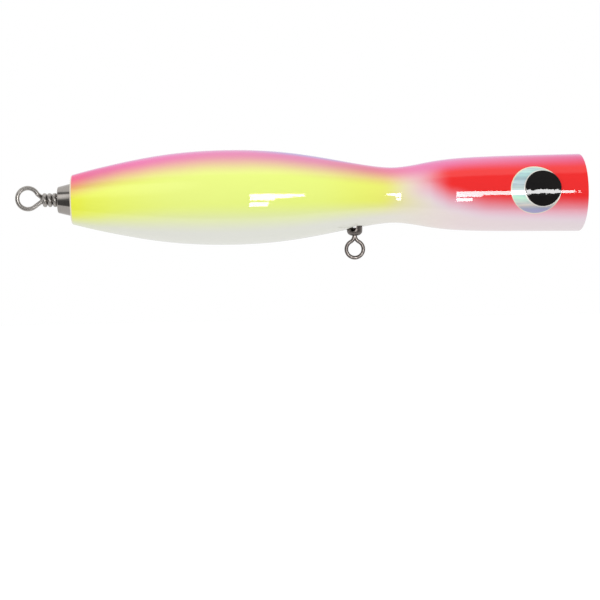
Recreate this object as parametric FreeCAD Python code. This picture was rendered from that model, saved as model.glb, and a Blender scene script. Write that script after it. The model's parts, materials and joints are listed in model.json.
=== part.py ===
"""Topwater popper: a turned wooden lure on a through-wire, with a cupped mouth and a belly swivel.

The frame is the lure's own: +X forwards out of the mouth, +Y to the lure's left, +Z up through its back.
The origin is the centre of the line-tie eye, where the leader holds the lure. Every length is in millimetres.
Stations are distances from the tail face towards the mouth, along the through-wire.
"""
import FreeCAD
import Part
import math
import os
from FreeCAD import Vector

# ---- Driving dimensions ---------------------------------------------------------------------

# Turned body, over its lacquer
body_length = 199.4
tail_radius = 9.45
belly_station, belly_radius = 60.4, 18.45
waist_station, waist_radius = 125.0, 10.87
rim_radius = 15.28
tail_edge_fillet = 1.2
rim_edge_fillet = 0.5
coat_thickness = 0.6

# Cupped mouth: a short flared wall, then a ball-nosed bowl
cup_radius = 12.3
cup_flare = 0.3
cup_wall_depth = 3.2
cup_seat_land = 0.4

# Through-wire, with a wrapped eye at each end
wire_diameter = 1.7
wire_gap = 0.17
eye_inner_radius = 3.2
eye_neck = 1.9
eye_crossing = 1.5
eye_bend_radius = 2.0
eye_opening_angle = 30.0
tail_eye_lift = 0.7
wraps = 3
wrap_gap = 0.22
wrap_lean = 0.55
wrap_start_angle = 60.0
wrap_tag_angle = 30.0
wire_bore_clearance = 0.5

# Ferrules: turned collars that take the pull of the wraps into the wood
tail_ferrule_length = 5.2
tail_ferrule_face_radius = 5.0
tail_ferrule_base_radius = 6.3
mouth_ferrule_length = 3.0
mouth_ferrule_face_radius = 3.9
mouth_ferrule_base_radius = 4.9
ferrule_spigot_radius = 3.0
ferrule_spigot_length = 9.0
ferrule_edge_fillet = 0.4
ferrule_wire_clearance = 0.05
ferrule_wrap_gap = 0.1

# Belly swivel, hung on the through-wire by its upper eye
swivel_station = 109.9
swivel_wire_diameter = 1.5
swivel_eye_inner_radius = 2.6
swivel_shoulder_radius = 2.6
swivel_strand_offset = 0.2
swivel_stem_radius = 0.9
swivel_stem_show = 0.1
swivel_hang_gap = 0.03
barrel_radius = 3.05
barrel_length = 8.55
barrel_end_wall = 1.65
barrel_end_fillet = 2.0
barrel_cavity_radius = 1.6
barrel_window_radius = 1.1
barrel_window_turn = -17.0
swivel_head_play = 0.2
running_gap = 0.06

# Swivel pocket: a slot across the belly, close on the barrel fore and aft
pocket_half_width = 3.45
pocket_half_length = 4.7
pocket_top_gap = 0.8
pocket_edge_fillet = 0.3

# Eyes: a foil disc flush in the lacquer, with a raised pupil at its front edge
foil_setback = 20.65
foil_radius = 9.85
foil_thickness = 0.15
pupil_radius = 7.05
pupil_height = 0.45
pupil_edge_fillet = 0.25
foil_lift_angle = 5.5
pupil_lift_angle = 7.5

# Ballast: lead slugs in pockets drilled from the belly, each closed by a wooden plug
ballast_stations = {"rear": 32.0, "middle": 48.0, "front": 64.0}
slug_radius = 6.5
slug_height = 8.5
slug_clearance = 0.05
slug_web = 2.0

# ---- Sizes worked out from those ------------------------------------------------------------

wire_radius = wire_diameter / 2
wire_bore_radius = wire_radius + wire_bore_clearance
wrap_radius = wire_diameter + wire_gap
wrap_pitch = wire_diameter + wrap_gap
eye_radius = eye_inner_radius + wire_radius
first_wrap = eye_radius + eye_crossing
wrap_end_angle = 360 * wraps + wrap_tag_angle
wrap_end = (first_wrap + wrap_pitch * (wrap_end_angle - 90) / 360
            - wrap_lean * math.cos(math.radians(wrap_end_angle)))
eye_to_ferrule = wrap_end + wire_radius + ferrule_wrap_gap

cup_seat_depth = cup_wall_depth + cup_radius + coat_thickness + cup_seat_land
mouth_seat_x = -eye_to_ferrule - mouth_ferrule_length
rim_x = mouth_seat_x + cup_seat_depth
tail_x = rim_x - body_length
tail_seat_x = tail_x + coat_thickness
tail_eye_x = tail_x - tail_ferrule_length - eye_to_ferrule

swivel_x = tail_x + swivel_station
swivel_wire_radius = swivel_wire_diameter / 2
swivel_eye_radius = swivel_eye_inner_radius + swivel_wire_radius
swivel_shoulder_x = swivel_strand_offset + swivel_shoulder_radius
swivel_eye_neck = math.sqrt((swivel_eye_radius + swivel_shoulder_radius) ** 2 - swivel_shoulder_x ** 2)
swivel_head_radius = barrel_cavity_radius - swivel_head_play
upper_eye_z = wire_radius + swivel_hang_gap - swivel_eye_inner_radius
barrel_top_z = upper_eye_z - swivel_eye_neck - swivel_stem_show
barrel_bottom_z = barrel_top_z - barrel_length
lower_eye_z = barrel_bottom_z - swivel_stem_show - swivel_eye_neck
pocket_top_z = upper_eye_z + swivel_eye_radius + swivel_wire_radius + pocket_top_gap

foil_x = rim_x - foil_setback
pupil_x = foil_x + foil_radius - pupil_radius
slug_top_z = -wire_bore_radius - slug_web
slug_pocket_radius = slug_radius + slug_clearance

FORE, LEFT, UP = Vector(1, 0, 0), Vector(0, 1, 0), Vector(0, 0, 1)
OUTSIDE = 2 * (belly_radius + rim_radius)


def between(first, second, share, fullness):
    """A point of the outline between two of its named ones."""
    return (first[0] + share * (second[0] - first[0]), first[1] + fullness * (second[1] - first[1]))


TAIL, BELLY = (0, tail_radius), (belly_station, belly_radius)
WAIST, RIM = (waist_station, waist_radius), (body_length, rim_radius)
OUTLINE = [
    TAIL,
    between(TAIL, BELLY, 0.12, 0.210),
    between(TAIL, BELLY, 0.27, 0.440),
    between(TAIL, BELLY, 0.57, 0.805),
    BELLY,
    between(BELLY, WAIST, 0.36, 0.168),
    between(BELLY, WAIST, 0.66, 0.582),
    between(BELLY, WAIST, 0.89, 0.925),
    WAIST,
    between(WAIST, RIM, 0.21, 0.487),
    between(WAIST, RIM, 0.44, 0.828),
    between(WAIST, RIM, 0.70, 0.932),
    RIM,
]


# ---- Shapes used more than once -------------------------------------------------------------

def rod(start_x, end_x, radius):
    """A cylinder along the body's axis."""
    return Part.makeCylinder(radius, end_x - start_x, Vector(start_x, 0, 0), FORE)


def revolved(edges):
    """The solid that a closed outline of edges in the XZ plane sweeps about the body's axis."""
    return Part.Face(Part.Wire(edges)).revolve(Vector(0, 0, 0), FORE, 360)


def polyline(*points):
    """The straight edges through points given as x and radius."""
    ends = [Vector(x, 0, radius) for x, radius in points]
    return [Part.LineSegment(a, b).toShape() for a, b in zip(ends, ends[1:])]


def rings(solid, x, radius):
    """The solid's circular edges about the body's axis at one place."""
    return [edge for edge in solid.Edges
            if not edge.Degenerated and isinstance(edge.Curve, Part.Circle)
            and abs(edge.Curve.Center.x - x) < 0.01 and abs(edge.Curve.Radius - radius) < 0.05]


def envelope(inset):
    """The turned body as a solid, with its whole surface moved inwards by inset."""
    outline = Part.BSplineCurve()
    outline.interpolate([Vector(tail_x + station, 0, radius) for station, radius in OUTLINE])
    if inset:
        first, last = outline.FirstParameter, outline.LastParameter
        moved = []
        for step in range(33):
            at = first + (last - first) * step / 32
            along = outline.tangent(at)[0]
            moved.append(outline.value(at) + Vector(along.z, 0, -along.x) * inset)
        outline = Part.BSplineCurve()
        outline.interpolate(moved)
    start, end = outline.StartPoint, outline.EndPoint
    closing = polyline((end.x, end.z), (end.x, 0), (start.x, 0), (start.x, start.z))
    return revolved([outline.toShape()] + closing).common(rod(tail_x + inset, rim_x - inset, OUTSIDE))


def mouth_cup(outset):
    """The hollow of the mouth as a solid, with its surface moved into the body by outset."""
    bowl = cup_radius + outset
    wall_x, mouth = rim_x - cup_wall_depth, cup_radius + cup_flare + outset
    side = polyline((rim_x + OUTSIDE, 0), (rim_x + OUTSIDE, mouth), (rim_x, mouth), (wall_x, bowl))
    base = Part.Arc(Vector(wall_x, 0, bowl),
                    Vector(wall_x - bowl * math.sin(math.pi / 4), 0, bowl * math.cos(math.pi / 4)),
                    Vector(wall_x - bowl, 0, 0)).toShape()
    return revolved(side + [base] + polyline((wall_x - bowl, 0), (rim_x + OUTSIDE, 0)))


def tangent_arc(start, corner, end):
    """The arc that leaves start towards corner and reaches end from corner."""
    middle = (start + end) * 0.5
    angle = (corner - start).getAngle(end - start)
    return Part.Arc(start, middle + (corner - middle) * (math.tan(angle / 2) / math.tan(angle)), end)


def biarc(start, leaving, end, arriving):
    """Two arcs that join one point and direction to another without a corner."""
    chord, turn = end - start, 1 - leaving.dot(arriving)
    reach = chord.dot(leaving + arriving)
    arm = (math.sqrt(reach ** 2 + 2 * turn * chord.dot(chord)) - reach) / (2 * turn)
    first, second = start + leaving * arm, end - arriving * arm
    joint = (first + second) * 0.5
    return [tangent_arc(start, first, joint), tangent_arc(joint, second, end)]


def swept(path, radius):
    """A round bar along a path of edges without corners."""
    wire = Part.Wire(Part.__sortEdges__(path))
    start = wire.OrderedEdges[0]
    at = start.FirstParameter if start.Orientation == "Forward" else start.LastParameter
    section = Part.Wire(Part.Circle(start.valueAt(at), start.tangentAt(at), radius).toShape())
    return wire.makePipeShell([section], True, False)


def wrapped_eye(lift):
    """The path of a wire's end, from the shaft out round its eye and back in wraps.

    The shaft lies on the X axis and the eye's centre is at X = 0, lift above it. The end crosses behind
    the shaft, and each wrap then stands upright in front and takes its pitch behind.
    """
    centre, corner = Vector(0, 0, lift), Vector(eye_radius + eye_neck, 0, 0)
    meeting = math.degrees(math.atan2(-lift, corner.x) - math.acos(eye_radius / (corner - centre).Length))

    def on_eye(angle):
        turn = math.radians(angle)
        return centre + Vector(math.cos(turn), 0, math.sin(turn)) * eye_radius

    def on_wrap(angle):
        turn = math.radians(angle)
        return Vector(first_wrap + wrap_pitch * (angle - 90) / 360 - wrap_lean * math.cos(turn),
                      wrap_radius * math.sin(turn), wrap_radius * math.cos(turn))

    def along_wrap(angle):
        turn = math.radians(angle)
        return Vector(wrap_pitch / (2 * math.pi) + wrap_lean * math.sin(turn), wrap_radius * math.cos(turn),
                      -wrap_radius * math.sin(turn)).normalize()

    strand = (on_eye(meeting) - corner).normalize()
    setback = eye_bend_radius * math.tan(strand.getAngle(FORE * -1) / 2)
    shaft_end, strand_end = corner + FORE * setback, corner + strand * setback
    outer = (meeting + eye_opening_angle) / 2 - 180
    curves = [
        tangent_arc(shaft_end, corner, strand_end),
        Part.LineSegment(strand_end, on_eye(meeting)),
        Part.Arc(on_eye(meeting), on_eye((meeting + outer) / 2), on_eye(outer)),
        Part.Arc(on_eye(outer), on_eye((outer + eye_opening_angle - 360) / 2),
                 on_eye(eye_opening_angle - 360)),
    ]
    turn = math.radians(eye_opening_angle)
    place, heading = on_eye(eye_opening_angle), Vector(math.sin(turn), 0, -math.cos(turn))
    steps = round((wrap_end_angle - wrap_start_angle) / 60)
    for step in range(steps + 1):
        angle = wrap_start_angle + (wrap_end_angle - wrap_start_angle) * step / steps
        curves += biarc(place, heading, on_wrap(angle), along_wrap(angle))
        place, heading = on_wrap(angle), along_wrap(angle)
    return shaft_end, [curve.toShape() for curve in curves]


def swivel_eye(centre_z, side):
    """A teardrop eye of the swivel in the XZ plane, with its stem and head on the side of the barrel."""
    centre = Vector(swivel_shoulder_x, 0, side * swivel_eye_neck)
    outwards = Vector(centre).normalize()
    join, crown = outwards * swivel_eye_radius, (outwards + FORE).normalize() * swivel_shoulder_radius
    shoulder = Part.Arc(centre - FORE * swivel_shoulder_radius, centre - crown, join).toShape()
    widest = (outwards + Vector(1, 0, -side)).normalize() * swivel_eye_radius
    half = Part.Arc(join, widest, UP * -side * swivel_eye_radius).toShape()
    strand = swept([shoulder, half], swivel_wire_radius)
    head = UP * side * (swivel_eye_neck + swivel_stem_show + barrel_end_wall + running_gap
                        + swivel_head_radius)
    stem = UP * side * (swivel_eye_neck - swivel_stem_radius)
    eye = strand.fuse([
        strand.mirror(Vector(0, 0, 0), FORE),
        Part.makeCylinder(swivel_stem_radius, abs(head.z - stem.z), stem, UP * side),
        Part.makeSphere(swivel_head_radius, head, UP * side, -90, 0, 360),
    ]).removeSplitter()
    eye.translate(Vector(0, 0, centre_z))
    return eye


def eye_prism(centre_x, radius, lift, side):
    """A round eye's outline, wrapped on the head and carried out to one side, turned up by lift."""
    tall = rim_radius * math.sin(radius / rim_radius)
    outline = Part.Ellipse(Vector(0, 0, 0), radius, tall).toShape()
    outline.rotate(Vector(0, 0, 0), FORE, 90)
    prism = Part.Face(Part.Wire(outline)).extrude(LEFT * side * OUTSIDE)
    prism.rotate(Vector(0, 0, 0), FORE, side * lift)
    prism.translate(Vector(centre_x, 0, 0))
    return prism


def save(name, shape):
    """Writes one node's solid."""
    shape.exportStep(f"parts/{name}.step")
    print(f"{name}: {len(shape.Solids)} solid, {shape.Volume:.1f} mm3, valid {shape.isValid()}")


os.makedirs("parts", exist_ok=True)

# ---- Body -----------------------------------------------------------------------------------

blank, finished, under_foil = envelope(coat_thickness), envelope(0), envelope(foil_thickness)
over_foil = envelope(-pupil_height)

# The slot for the swivel, round-ended across the body and closed above the wire
slot_end = pocket_half_length - pocket_half_width
pocket = Part.makeBox(2 * pocket_half_width, 2 * slot_end, OUTSIDE,
                      Vector(swivel_x - pocket_half_width, -slot_end, pocket_top_z - OUTSIDE))
pocket = pocket.fuse([
    Part.makeCylinder(pocket_half_width, OUTSIDE, Vector(swivel_x, y, pocket_top_z), UP * -1)
    for y in (-slot_end, slot_end)
]).removeSplitter()

core = blank.cut(mouth_cup(coat_thickness)).cut([
    pocket,
    rod(tail_x, rim_x, wire_bore_radius),
    rod(tail_seat_x, tail_seat_x + ferrule_spigot_length, ferrule_spigot_radius),
    rod(mouth_seat_x - ferrule_spigot_length, mouth_seat_x, ferrule_spigot_radius),
    rod(mouth_seat_x, rim_x, mouth_ferrule_base_radius),
])

# Ballast in its drilled pockets, with plugs turned down flush with the wood
for name, station in ballast_stations.items():
    top = Vector(tail_x + station, 0, slug_top_z)
    core = core.cut(Part.makeCylinder(slug_pocket_radius, OUTSIDE, top, UP * -1))
    save(f"ballast_slug_{name}", Part.makeCylinder(slug_radius, slug_height, top, UP * -1))
    plug = Part.makeCylinder(slug_pocket_radius, OUTSIDE, top - UP * slug_height, UP * -1)
    save(f"ballast_plug_{name}", plug.common(blank))
save("body_core", core)

# Eyes, their foils let into the lacquer and their pupils standing on it
foils = []
for name, side in (("left", 1), ("right", -1)):
    foil = finished.cut(under_foil).common(eye_prism(foil_x, foil_radius, foil_lift_angle, side))
    pupil = over_foil.cut(finished).common(eye_prism(pupil_x, pupil_radius, pupil_lift_angle, side))
    front = max(pupil.Faces, key=lambda face: abs(face.CenterOfMass.y))
    save(f"{name}_eye_foil", foil)
    save(f"{name}_eye_pupil", pupil.makeFillet(pupil_edge_fillet, front.Edges))
    foils.append(foil)

# Lacquer, rolled over the rim into the cup and round the tail edge
coat = finished.cut(mouth_cup(0)).cut(pocket)
slot_mouth = [edge for edge in coat.Edges if not edge.Degenerated and not isinstance(edge.Curve, Part.Line)
              and abs(edge.CenterOfMass.x - swivel_x) < pocket_half_width + 1
              and edge.BoundBox.ZMax < pocket_top_z - 1 and edge.BoundBox.XLength < 3 * pocket_half_width]
coat = coat.makeFillet(pocket_edge_fillet, slot_mouth)
coat = coat.makeFillet(tail_edge_fillet, rings(coat, tail_x, tail_radius))
coat = coat.makeFillet(rim_edge_fillet, rings(coat, rim_x, rim_radius)
                       + rings(coat, rim_x, cup_radius + cup_flare))
coat = coat.cut(blank.cut(mouth_cup(coat_thickness))).cut([
    rod(tail_x, tail_seat_x, tail_ferrule_base_radius),
    rod(mouth_seat_x, rim_x, mouth_ferrule_base_radius),
] + foils)
save("lacquer_coat", coat)

# ---- Through-wire and its ferrules ----------------------------------------------------------

tail_end, tail_path = wrapped_eye(tail_eye_lift)
mouth_end, mouth_path = wrapped_eye(0)
for edge in tail_path:
    edge.translate(Vector(tail_eye_x, 0, 0))
for edge in mouth_path:
    edge.rotate(Vector(0, 0, 0), UP, 180)
shaft = Part.LineSegment(Vector(tail_eye_x + tail_end.x, 0, 0), Vector(-mouth_end.x, 0, 0)).toShape()
save("through_wire", swept(tail_path + [shaft] + mouth_path, wire_radius))

ferrule_bore = wire_radius + ferrule_wire_clearance
for name, face_x, base_x, seat_x, face_radius, base_radius in (
    ("tail_ferrule", tail_x - tail_ferrule_length, tail_x, tail_seat_x,
     tail_ferrule_face_radius, tail_ferrule_base_radius),
    ("mouth_ferrule", mouth_seat_x + mouth_ferrule_length, mouth_seat_x + mouth_ferrule_length / 2,
     mouth_seat_x, mouth_ferrule_face_radius, mouth_ferrule_base_radius),
):
    spigot_x = seat_x + math.copysign(ferrule_spigot_length, seat_x - face_x)
    ferrule = revolved(polyline((face_x, ferrule_bore), (face_x, face_radius), (base_x, base_radius),
                                (seat_x, base_radius), (seat_x, ferrule_spigot_radius),
                                (spigot_x, ferrule_spigot_radius), (spigot_x, ferrule_bore),
                                (face_x, ferrule_bore)))
    save(name, ferrule.makeFillet(ferrule_edge_fillet, rings(ferrule, face_x, face_radius)))

# ---- Belly swivel ---------------------------------------------------------------------------

upper_eye = swivel_eye(0, -1)
upper_eye.rotate(Vector(0, 0, 0), UP, 90)
upper_eye.translate(Vector(swivel_x, 0, upper_eye_z))
save("swivel_upper_eye", upper_eye)

lower_eye = swivel_eye(0, 1)
lower_eye.translate(Vector(swivel_x, 0, lower_eye_z))
save("swivel_lower_eye", lower_eye)

barrel = Part.makeCylinder(barrel_radius, barrel_length, Vector(0, 0, 0))
barrel = barrel.makeFillet(barrel_end_fillet, [edge for edge in barrel.Edges if len(edge.Vertexes) == 1])
window_bottom = barrel_end_wall + barrel_window_radius
window_top = barrel_length - window_bottom
window = Part.makeBox(2 * barrel_window_radius, 2 * OUTSIDE, window_top - window_bottom,
                      Vector(-barrel_window_radius, -OUTSIDE, window_bottom))
window = window.fuse([Part.makeCylinder(barrel_window_radius, 2 * OUTSIDE, Vector(0, -OUTSIDE, z), LEFT)
                      for z in (window_bottom, window_top)]).removeSplitter()
window.rotate(Vector(0, 0, 0), UP, barrel_window_turn)
cavity = Part.makeCylinder(barrel_cavity_radius, barrel_length - 2 * barrel_end_wall, UP * barrel_end_wall)
barrel = barrel.cut([window, cavity, Part.makeCylinder(swivel_stem_radius + running_gap, barrel_length)])
barrel.translate(Vector(swivel_x, 0, barrel_bottom_z))
save("swivel_barrel", barrel)
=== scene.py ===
"""Topwater popper: a turned wooden lure, airbrushed and dipped in clear epoxy, on a through-wire.

The frame is the lure's own: +X forwards out of the mouth, +Y to the lure's left, +Z up through its back,
with the line-tie eye at the origin. Sizes are in millimetres and are turned to metres where a mesh is made.
"""
import json
import math

import bmesh
import bpy
import numpy as np
from mathutils import Matrix, Vector


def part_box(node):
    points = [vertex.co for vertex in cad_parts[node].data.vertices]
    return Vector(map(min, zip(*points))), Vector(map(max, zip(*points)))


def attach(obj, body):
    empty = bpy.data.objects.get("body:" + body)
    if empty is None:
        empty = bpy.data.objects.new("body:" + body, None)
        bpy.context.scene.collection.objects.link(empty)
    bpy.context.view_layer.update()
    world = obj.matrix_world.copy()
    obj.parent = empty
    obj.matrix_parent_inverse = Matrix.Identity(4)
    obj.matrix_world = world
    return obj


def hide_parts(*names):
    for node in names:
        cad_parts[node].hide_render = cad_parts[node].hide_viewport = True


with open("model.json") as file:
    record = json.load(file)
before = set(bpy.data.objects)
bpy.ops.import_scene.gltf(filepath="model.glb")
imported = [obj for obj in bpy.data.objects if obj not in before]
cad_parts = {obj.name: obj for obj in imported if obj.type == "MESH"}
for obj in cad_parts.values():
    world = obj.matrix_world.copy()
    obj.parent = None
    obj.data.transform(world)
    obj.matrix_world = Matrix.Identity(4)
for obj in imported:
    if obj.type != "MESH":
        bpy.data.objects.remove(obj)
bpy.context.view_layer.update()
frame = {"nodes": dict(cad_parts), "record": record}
bpy.ops.object.select_all(action="DESELECT")

# ---- Painted hull ---------------------------------------------------------------------------
# The paint and epoxy skin of the turned wooden body. The body is sealed, sprayed white, airbrushed
# with yellow flanks, a pink back and a red head, then dipped in clear epoxy and turned while it sets,
# so that the gloss rolls over the rim into the cup and round the tail edge.

MM = 0.001
skin_low, skin_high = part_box("lacquer_coat")
tail_x, rim_x = skin_low.x / MM, skin_high.x / MM
tail_seat_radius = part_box("tail_ferrule")[1].y / MM
mouth_seat_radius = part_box("mouth_ferrule")[1].y / MM

# Stations from the tail face, and the radius at each
BODY_OUTLINE = [(0, 9.45), (7.25, 11.34), (16.3, 13.41), (34.4, 16.69), (60.4, 18.43), (83.7, 17.17),
                (103, 14.04), (117.9, 11.44), (125, 10.85), (140.6, 13.02), (157.7, 14.52), (177.1, 14.98),
                (199.4, 15.26)]
body_length = BODY_OUTLINE[-1][0]
skin_thickness = 0.5
tail_edge_radius, rim_edge_radius = 1.2, 0.5
cup_mouth_radius, cup_radius, cup_wall_depth = 12.6, 12.3, 3.2
rings_along, cup_rings, turning_steps = 160, 24, 192


def outline_radius(station):
    """The body's radius at a station, on the smooth curve that a bent batten takes through the outline."""
    at, radius = np.array(BODY_OUTLINE, float).T
    gap, rise = np.diff(at), np.diff(radius)
    bend = np.eye(len(at))
    for i in range(1, len(at) - 1):
        bend[i, i - 1:i + 2] = gap[i - 1], 2 * (gap[i - 1] + gap[i]), gap[i]
    pull = np.zeros(len(at))
    pull[1:-1] = 6 * (rise[1:] / gap[1:] - rise[:-1] / gap[:-1])
    curve = np.linalg.solve(bend, pull)
    i = min(max(np.searchsorted(at, station) - 1, 0), len(gap) - 1)
    near, far = (at[i + 1] - station) / gap[i], (station - at[i]) / gap[i]
    return float(near * radius[i] + far * radius[i + 1]
                 + ((near ** 3 - near) * curve[i] + (far ** 3 - far) * curve[i + 1]) * gap[i] ** 2 / 6)


def turned(name, outline, steps=turning_steps):
    """A piece turned on a lathe: an outline of places along X and radii, spun about the through-wire."""
    bpy.ops.mesh.primitive_circle_add(vertices=3, radius=MM)
    piece = bpy.context.object
    piece.name = name
    bpy.ops.object.mode_set(mode="EDIT")
    bpy.ops.mesh.select_mode(type="VERT")
    bpy.ops.mesh.merge(type="CENTER")
    here = Vector((0, 0, 0))
    for x, radius in outline:
        there = Vector((x, 0, radius)) * MM
        bpy.ops.mesh.extrude_region_move(TRANSFORM_OT_translate={"value": there - here})
        here = there
    bpy.ops.mesh.select_all(action="DESELECT")
    mesh = bmesh.from_edit_mesh(piece.data)
    mesh.verts.ensure_lookup_table()
    mesh.verts.remove(mesh.verts[0])
    bmesh.update_edit_mesh(piece.data)
    bpy.ops.mesh.select_all(action="SELECT")
    bpy.ops.mesh.spin(steps=steps, angle=2 * math.pi, center=(0, 0, 0), axis=(1, 0, 0))
    bpy.ops.mesh.select_all(action="SELECT")
    bpy.ops.mesh.remove_doubles(threshold=1e-6)
    bpy.ops.mesh.normals_make_consistent(inside=False)
    bpy.ops.mesh.select_all(action="DESELECT")
    return piece


def pick_rings(piece, x, radius):
    """Selects the edges of a turned piece that run round it at one place."""
    bpy.ops.mesh.select_mode(type="EDGE")
    bpy.ops.mesh.select_all(action="DESELECT")
    mesh = bmesh.from_edit_mesh(piece.data)
    for edge in mesh.edges:
        edge.select = all(abs(v.co.x - x * MM) < 0.02 * MM
                          and abs(math.hypot(v.co.y, v.co.z) - radius * MM) < 0.02 * MM for v in edge.verts)
    bmesh.update_edit_mesh(piece.data)


def modified(piece, kind, **settings):
    """Gives a piece a modifier and applies it."""
    bpy.context.view_layer.objects.active = piece
    modifier = piece.modifiers.new(kind.title(), kind)
    for name, value in settings.items():
        setattr(modifier, name, value)
    bpy.ops.object.modifier_apply(modifier=modifier.name)


outline = [(tail_x, tail_seat_radius)]
outline += [(tail_x + station, outline_radius(station))
            for station in (body_length * i / rings_along for i in range(rings_along + 1)
                            if i not in (1, rings_along - 1))]
wall_x = rim_x - cup_wall_depth
outline += [(rim_x, cup_mouth_radius), (rim_x - cup_wall_depth / 2, (cup_mouth_radius + cup_radius) / 2)]
seat_turn = math.asin(mouth_seat_radius / cup_radius)
outline += [(wall_x - cup_radius * math.cos(turn), cup_radius * math.sin(turn))
            for turn in (math.pi / 2 + (seat_turn - math.pi / 2) * i / cup_rings
                         for i in range(cup_rings + 1))]

hull = turned("painted_hull", outline)
for x, radius, edge_radius in ((tail_x, BODY_OUTLINE[0][1], tail_edge_radius),
                               (rim_x, BODY_OUTLINE[-1][1], rim_edge_radius),
                               (rim_x, cup_mouth_radius, rim_edge_radius)):
    pick_rings(hull, x, radius)
    bpy.ops.mesh.bevel(offset=edge_radius * MM, offset_type="WIDTH", segments=8, affect="EDGES",
                       clamp_overlap=False)
bpy.ops.object.mode_set(mode="OBJECT")
bpy.ops.object.shade_smooth()
modified(hull, "SOLIDIFY", thickness=skin_thickness * MM, offset=-1)

# The slot through the skin for the swivel, round-ended across the belly
swivel_x = sum(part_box("swivel_barrel")[i].x for i in (0, 1)) / 2 / MM
slot_half_width, slot_half_length = 3.45, 4.7
cutter_length, cutter_middle_z = 15, -14
bpy.ops.object.select_all(action="DESELECT")
bpy.ops.mesh.primitive_cylinder_add(vertices=96, radius=slot_half_width * MM, depth=cutter_length * MM,
                                    location=Vector((swivel_x, 0, cutter_middle_z)) * MM)
cutter = bpy.context.object
bpy.ops.object.mode_set(mode="EDIT")
for side in (-1, 1):
    bpy.ops.mesh.select_mode(type="VERT")
    bpy.ops.mesh.select_all(action="DESELECT")
    mesh = bmesh.from_edit_mesh(cutter.data)
    for vertex in mesh.verts:
        vertex.select = vertex.co.y * side > 0.001 * MM
    bmesh.update_edit_mesh(cutter.data)
    bpy.ops.transform.translate(value=(0, side * (slot_half_length - slot_half_width) * MM, 0))
bpy.ops.object.mode_set(mode="OBJECT")
modified(hull, "BOOLEAN", object=cutter, operation="DIFFERENCE", solver="EXACT")
bpy.data.objects.remove(cutter)

# ---- Paint of the hull ----


def tone(code):
    """The linear colour of an sRGB hex code."""
    parts = [int(code[i:i + 2], 16) / 255 for i in (0, 2, 4)]
    return (*[p / 12.92 if p <= 0.04045 else ((p + 0.055) / 1.055) ** 2.4 for p in parts], 1)


def node(tree, kind, inputs, **settings):
    """Adds a node with its settings, and fills its inputs with values or with other nodes' outputs."""
    added = tree.nodes.new(kind)
    for name, value in settings.items():
        setattr(added, name, value)
    for name, value in inputs.items():
        if isinstance(value, bpy.types.NodeSocket):
            tree.links.new(value, added.inputs[name])
        else:
            added.inputs[name].default_value = value
    return added


def new_finish(name):
    """A new material with its node tree and its shader."""
    material = bpy.data.materials.new(name)
    material.use_nodes = True
    return material, material.node_tree, material.node_tree.nodes["Principled BSDF"]


# Airbrushed acrylic under a thick clear epoxy: soft edges between the colours, a fine grain of droplets
# in them, and over it all one sharp gloss that bends where the epoxy has flowed.
lacquer, tree, shader = new_finish("airbrushed_lacquer_under_epoxy")
place = node(tree, "ShaderNodeTexCoord", {}).outputs["Object"]
axes = node(tree, "ShaderNodeSeparateXYZ", {0: place}).outputs
station = node(tree, "ShaderNodeMath", {0: axes["X"], 1: -tail_x * MM}, operation="ADD").outputs[0]
station = node(tree, "ShaderNodeMath", {0: station, 1: 1 / MM}, operation="MULTIPLY").outputs[0]
across = node(tree, "ShaderNodeMath", {0: axes["Y"]}, operation="ABSOLUTE").outputs[0]
turn = node(tree, "ShaderNodeMath", {0: across, 1: axes["Z"]}, operation="ARCTAN2").outputs[0]
flat = node(tree, "ShaderNodeCombineXYZ", {"Y": axes["Y"], "Z": axes["Z"]}).outputs[0]
radius = node(tree, "ShaderNodeVectorMath", {0: flat}, operation="LENGTH").outputs["Value"]
depth = node(tree, "ShaderNodeMath", {0: radius, 1: axes["Z"]}, operation="SUBTRACT").outputs[0]
depth = node(tree, "ShaderNodeMath", {0: depth, 1: 1 / MM}, operation="MULTIPLY").outputs[0]
turn = node(tree, "ShaderNodeMath", {0: turn, 1: 180 / math.pi}, operation="MULTIPLY").outputs[0]

# Droplets about 0.25 mm wide and slow drifts of the hand about 25 mm long push the colour edges about
droplets = node(tree, "ShaderNodeTexNoise", {"Vector": place, "Scale": 1 / (0.25 * MM), "Detail": 1.0})
drift = node(tree, "ShaderNodeTexNoise", {"Vector": place, "Scale": 1 / (25 * MM), "Detail": 2.0})
wander = node(tree, "ShaderNodeMath", {0: droplets.outputs["Fac"], 1: 1.1, 2: -0.55},
              operation="MULTIPLY_ADD").outputs[0]
wander = node(tree, "ShaderNodeMath", {0: drift.outputs["Fac"], 1: 1.2, 2: wander},
              operation="MULTIPLY_ADD").outputs[0]
wander = node(tree, "ShaderNodeMath", {0: wander, 1: -0.6}, operation="ADD").outputs[0]
depth = node(tree, "ShaderNodeMath", {0: depth, 1: wander}, operation="ADD").outputs[0]
turn = node(tree, "ShaderNodeMath", {0: wander, 1: 2.5, 2: turn}, operation="MULTIPLY_ADD").outputs[0]
along = node(tree, "ShaderNodeMath", {0: station, 1: wander}, operation="ADD").outputs[0]

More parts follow.
